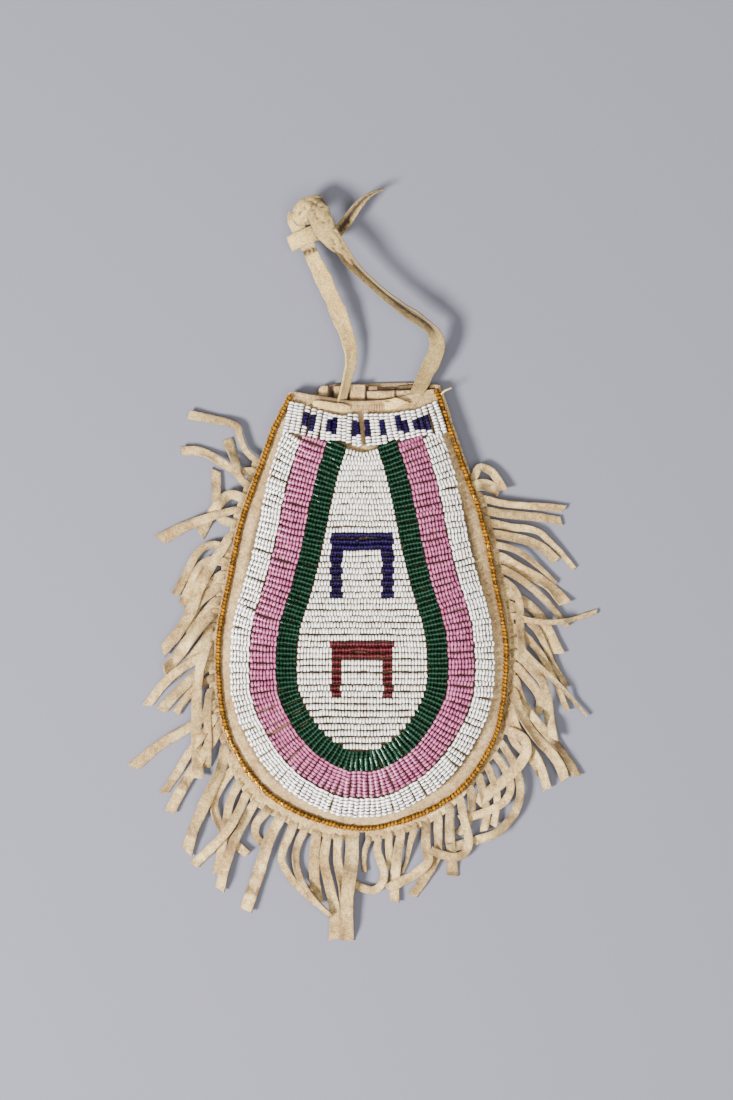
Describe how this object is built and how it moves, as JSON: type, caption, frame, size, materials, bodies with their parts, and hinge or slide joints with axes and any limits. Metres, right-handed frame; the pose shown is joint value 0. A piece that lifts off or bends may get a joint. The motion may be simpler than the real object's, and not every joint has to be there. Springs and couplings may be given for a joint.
{
  "type": "beaded medicine bag",
  "caption": "Pear-shaped drawstring pouch of tanned hide with beaded lanes, a fringed edge and a knotted thong, lying flat with its beaded face up.",
  "frame": {"origin": "on the flat underside of the back panel, below the middle of the bag", "axes": "+Y from the foot of the bag towards its mouth, +Z out of the beaded face, -Z into what the bag lies on"},
  "size_m": [0.1567, 0.2515, 0.0114],
  "materials": {
    "tanned_hide": "matt brain-tanned hide",
    "fringe_hide": "matt napped hide",
    "thong_hide": "matt napped hide",
    "white_glass_beads": "opaque glossy glass",
    "cream_glass_beads": "opaque glossy glass",
    "pink_glass_beads": "opaque glossy glass",
    "green_glass_beads": "dark glossy glass",
    "navy_glass_beads": "dark glossy glass",
    "red_glass_beads": "dark glossy glass",
    "amber_glass_beads": "amber glossy glass"
  },
  "bodies": {
    "root": {"back_panel": "tanned_hide", "front_panel": "tanned_hide", "white_lane": "white_glass_beads", "pink_lane": "pink_glass_beads", "green_lane": "green_glass_beads", "middle_field": "cream_glass_beads", "navy_gate": "navy_glass_beads", "red_gate": "red_glass_beads", "mouth_band_left": "white_glass_beads", "mouth_band_right": "white_glass_beads", "navy_block_1": "navy_glass_beads", "navy_block_2": "navy_glass_beads", "navy_block_3": "navy_glass_beads", "navy_block_4": "navy_glass_beads", "navy_block_5": "navy_glass_beads", "navy_block_6": "navy_glass_beads", "navy_block_7": "navy_glass_beads", "edge_beads": "amber_glass_beads", "fringe_left": "fringe_hide", "fringe_right": "fringe_hide", "thong_left": "thong_hide", "thong_right": "thong_hide", "thong_tail": "thong_hide", "knot_hood": "thong_hide", "knot_collar": "thong_hide", "lacing_left": "thong_hide", "lacing_right": "thong_hide"}
  },
  "joints": []
}
